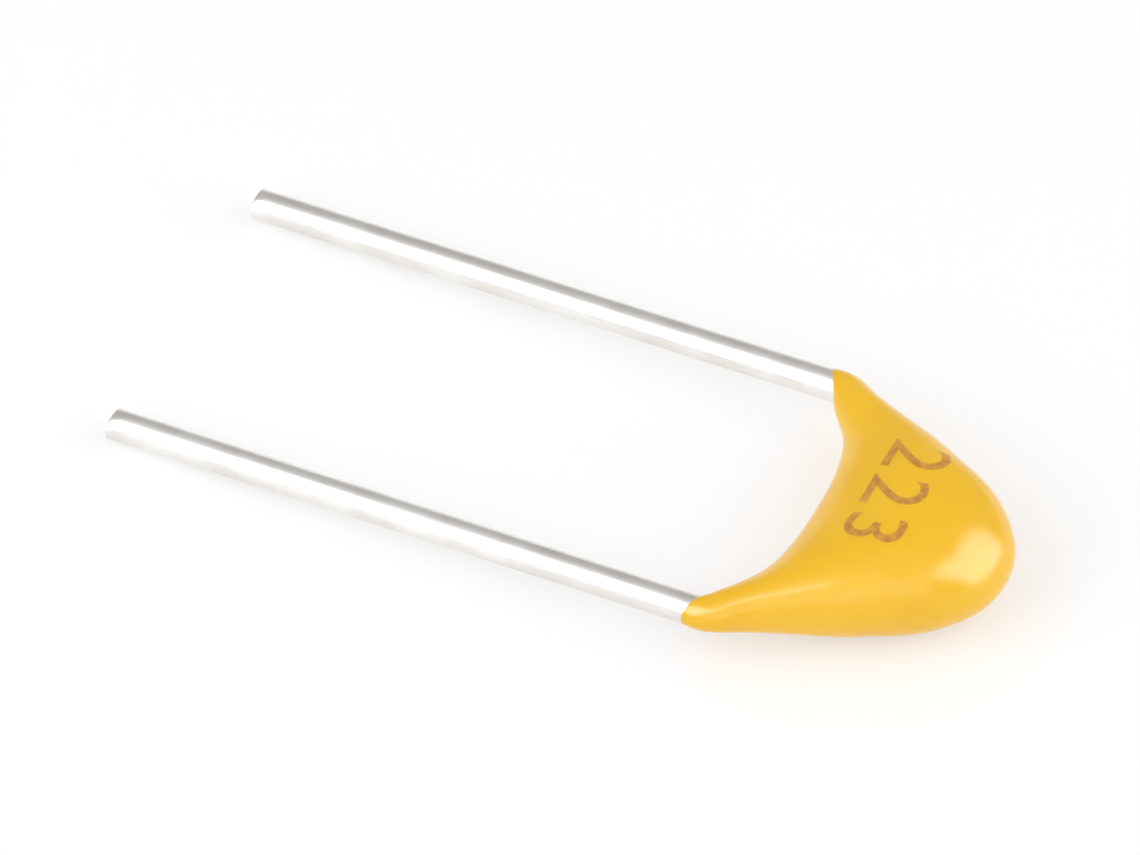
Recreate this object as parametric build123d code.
from build123d import *
import math
import os

# Multilayer ceramic capacitor with radial leads, dipped in epoxy. Millimetres.
# It is drawn with its leads along -Y, its dome towards +Y and its marked face towards +Z,
# with the horn tips at Y = 0. Then it is laid down as it comes to rest, on belly and lead ends.

# Leads
lead_pitch = 5.08            # between the straight wires
wire_diameter = 0.5
lead_length = 10.0           # bare wire, from a horn's tip to the cut end
bend_radius = 0.5            # of the wire's centre line, at both bends inside the coat
shear_length = 0.25          # stretch of the cut end that the shear has squeezed
shear_width = 0.58           # of the cut end, along X
shear_depth = 0.43           # of the cut end, along Z
wire_end_drop = 0.35         # from the chip's top down to the wire's inner end

# Ceramic chip
chip_length = 2.0            # over both end caps, along X
chip_height = 1.25           # along Y
chip_thickness = 1.0         # along Z, across the layers
cap_wall = 0.04              # metal of the end caps, on all five sides
cap_band = 0.4               # how far a cap wraps along the chip
cap_edge_bevel = 0.05
layers_per_side = 8
electrode_thickness = 0.01
end_margin = 0.2             # ceramic between an electrode's tip and the other cap
side_margin = 0.12           # ceramic beside the electrodes
cover_layer = 0.09           # ceramic outside the first and the last electrode

# Solder
solder_film = 0.05           # between cap and wire
solder_inset = 0.02          # flat of the cap left bare beside the solder's foot
fillet_dip = 0.04            # hollow of the solder's flanks

# Epoxy coat
saddle_height = 0.85         # from the horn tips up to the saddle between them
saddle_to_chip = 0.75
dome_cover = 1.28            # epoxy above the chip
face_cover = 0.4             # epoxy over the chip's flat faces
side_cover = 0.33            # epoxy outside the wires, beside the chip
tip_wall = 0.04              # epoxy around the wire at a horn's tip
bend_wall = 0.07             # epoxy around the wire at its first bend, inside the horn

# Sections of the coat above a horn's first bend, up to the flank beside the chip's middle.
# Outer end: share of the way from flank to tip in X, and of the chip's middle in Y.
# Inner end: shares of the saddle's half width and of its height. Last: share of full fatness.
horn_shares = [
    ((0.64, 0.37), (0.85, 0.42), 0.17),
    ((0.33, 0.67), (0.72, 0.68), 0.36),
    ((0.00, 1.00), (0.58, 0.84), 0.57),
]
# Sections from above the flank to the crown, with inner end and fatness as before.
# Outer end: share of the flank in X, and of the way from the chip's middle to the crown in Y.
dome_shares = [
    ((0.85, 0.28), (0.44, 0.93), 0.74),
    ((0.65, 0.64), (0.27, 0.99), 0.91),
    ((0.33, 0.92), (0.11, 1.00), 0.98),
    ((0.00, 1.00), (0.00, 1.00), 1.00),
]
bend_fat_share = 0.09        # fatness of the section at a horn's first bend
egg_share = 0.17             # how much fuller a section is on its outer side
section_steps = 8            # points that shape one face of a section, less one

# Search for the angle of rest, in degrees
steepest_rest = 45.0
rest_precision = 1e-5

# Places that follow from the sizes
wire_radius = wire_diameter / 2
half_pitch = lead_pitch / 2
chip_bottom = saddle_height + saddle_to_chip
chip_middle = chip_bottom + chip_height / 2
chip_top = chip_bottom + chip_height
crown = chip_top + dome_cover
wire_x = chip_length / 2 + solder_film + wire_radius
wire_end = chip_top - wire_end_drop
flank = wire_x + wire_radius + side_cover
tip_radius = wire_radius + tip_wall
bend_cover = wire_radius + bend_wall
tip_x = half_pitch + tip_radius
saddle_x = half_pitch - tip_radius
full_fatness = chip_thickness / 2 + face_cover
body_length = chip_length - 2 * cap_wall
body_height = chip_height - 2 * cap_wall
body_thickness = chip_thickness - 2 * cap_wall

# The wire leans in from the lead's line to the chip's end. Its first bend starts level with
# the horn tip, and its second has its corner level with the chip's bottom.
lean = half_pitch - wire_x
half_turn_tangent = lean / (chip_bottom + math.sqrt(chip_bottom**2 - (2 * bend_radius - lean) * lean))
half_turn = math.atan(half_turn_tangent)
bend_reach = bend_radius * half_turn_tangent


def section_ends(side):
    """Inner end, outer end and half thickness of the coat's sections on one side, tip first."""
    across = Vector(side, 0)
    up = Vector(0, 1)
    bend_middle = across * (half_pitch - bend_radius)
    bend_out = across * math.cos(half_turn) + up * math.sin(half_turn)
    ends = [
        (across * saddle_x, across * tip_x, 0.0),
        (bend_middle + bend_out * (bend_radius - bend_cover),
         bend_middle + bend_out * (bend_radius + bend_cover), bend_fat_share),
    ]
    for (x, y), (inner_x, inner_y), fat in horn_shares:
        outer = across * (flank + (tip_x - flank) * x) + up * (chip_middle * y)
        ends.append((across * (saddle_x * inner_x) + up * (saddle_height * inner_y), outer, fat))
    for (x, y), (inner_x, inner_y), fat in dome_shares:
        outer = across * (flank * x) + up * (chip_middle + (crown - chip_middle) * y)
        ends.append((across * (saddle_x * inner_x) + up * (saddle_height * inner_y), outer, fat))
    return [(inner, outer, tip_radius + (full_fatness - tip_radius) * fat) for inner, outer, fat in ends]


def half_section(inner, outer, half_thickness):
    """Front half of an egg-shaped section, from its outer end over the face to its inner end."""
    middle = (outer + inner) / 2
    half_depth = (outer - inner) / 2
    rise = Vector(0, 0, half_thickness)
    angles = [math.pi * step / section_steps for step in range(section_steps + 1)]
    points = [middle + half_depth * math.cos(angle)
              + rise * math.sin(angle) * (1 + egg_share * math.cos(angle)) for angle in angles]
    tangents = [rise * (1 + egg_share), rise * (egg_share - 1)]
    return Edge.make_spline(points, tangents=tangents, parameters=angles, scale=False)


def epoxy_coat(core):
    """Dipped drop: front and back skins from one horn tip over the crown to the other, round the core."""
    left = section_ends(-1)
    right = section_ends(1)
    sections = [half_section(*ends) for ends in left + right[-2::-1]]
    skin = Shell.make_loft([Wire([section]) for section in sections])
    skins = skin.faces() + mirror(skin, about=Plane.XY).faces()
    tips = [Face(Wire([tip, mirror(tip, about=Plane.XY).edge()])) for tip in (sections[0], sections[-1])]
    return Solid(Shell(skins + tips)) - core


def lead_wire(side):
    """Straight leg with a sheared end, which leans in to the chip and runs up its end cap."""
    x = side * half_pitch
    round_end = Plane((x, shear_length - lead_length, 0), x_dir=(1, 0, 0), z_dir=(0, -1, 0))
    cut_end = round_end.offset(shear_length)
    route = FilletPolyline(round_end.origin, (x, bend_reach), (side * wire_x, chip_bottom),
                           (side * wire_x, wire_end), radius=bend_radius)
    wire = sweep(round_end * Circle(wire_radius), path=route)
    return wire + loft([round_end * Circle(wire_radius), cut_end * Ellipse(shear_width / 2, shear_depth / 2)])


def chip_block(length, height, thickness):
    return Pos(0, chip_middle, 0) * Box(length, height, thickness)


def electrodes():
    """Metal layers that reach alternately to the left and the right end of the ceramic."""
    count = 2 * layers_per_side
    length = body_length - end_margin
    width = body_height - 2 * side_margin
    first = cover_layer + electrode_thickness / 2 - body_thickness / 2
    spacing = -2 * first / (count - 1)
    layers = {}
    for layer in range(count):
        side, name = ((-1, "left"), (1, "right"))[layer % 2]
        place = Pos(side * end_margin / 2, chip_middle, first + layer * spacing)
        layers[f"{name}_electrode_{layer // 2 + 1}"] = place * Box(length, width, electrode_thickness)
    return layers


def end_cap(side):
    """Five-sided metal cap on one end of the chip, with bevelled outer edges."""
    chip = chip_block(chip_length, chip_height, chip_thickness)
    bevelled = chamfer(chip.edges(), cap_edge_bevel)
    band = Pos(side * (chip_length - cap_band) / 2, 0, 0) * chip_block(cap_band, chip_height, chip_thickness)
    return (bevelled & band) - chip_block(body_length, body_height, body_thickness)


def solder_joint(side, wire):
    """Solder from the cap to the wire's widest line, with hollow flanks."""
    start = bend_reach + chip_bottom
    face_x = side * chip_length / 2
    top_x = side * wire_x
    foot = chip_thickness / 2 - cap_edge_bevel - solder_inset
    flank_x = (face_x + top_x) / 2 - side * fillet_dip
    flank_z = (foot + wire_radius) / 2 - fillet_dip
    outline = Line((top_x, -wire_radius), (top_x, wire_radius))
    outline += ThreePointArc((top_x, wire_radius), (flank_x, flank_z), (face_x, foot))
    outline += Line((face_x, foot), (face_x, -foot))
    outline += ThreePointArc((face_x, -foot), (flank_x, -flank_z), (top_x, -wire_radius))
    section = Plane((0, start, 0), x_dir=(1, 0, 0), z_dir=(0, 1, 0)) * make_face(outline)
    return extrude(section, amount=wire_end - start) - wire


def rest_angle(coat, wire):
    """Turn about X at which the coat's belly and the lead's end lie equally low."""
    low = 0.0
    high = steepest_rest
    while high - low > rest_precision:
        angle = (low + high) / 2
        belly = coat.rotate(Axis.X, angle).bounding_box().min.Z
        end = wire.rotate(Axis.X, angle).bounding_box().min.Z
        if end > belly:
            low = angle
        else:
            high = angle
    return (low + high) / 2


# Pieces as drawn
layers = electrodes()
ceramic = chip_block(body_length, body_height, body_thickness)
pieces = {}
core = [ceramic]
for side, name in ((-1, "left"), (1, "right")):
    pieces[f"{name}_lead"] = lead_wire(side)
    pieces[f"{name}_termination"] = end_cap(side)
    pieces[f"{name}_solder"] = solder_joint(side, pieces[f"{name}_lead"])
core += pieces.values()
pieces["ceramic_body"] = ceramic - list(layers.values())
pieces["epoxy_coat"] = epoxy_coat(core)
pieces.update(layers)

# Laid down at rest, with the origin under the middle of the whole part
turn = Rot(rest_angle(pieces["epoxy_coat"], pieces["left_lead"]), 0, 0)
box = Compound([turn * piece for piece in pieces.values()]).bounding_box()
placing = Pos(0, -box.center().Y, -box.min.Z) * turn

os.makedirs("parts", exist_ok=True)
for name, piece in pieces.items():
    export_step(placing * piece, f"parts/{name}.step")
print("overall size", box.size, "rest angle", turn.orientation.X)
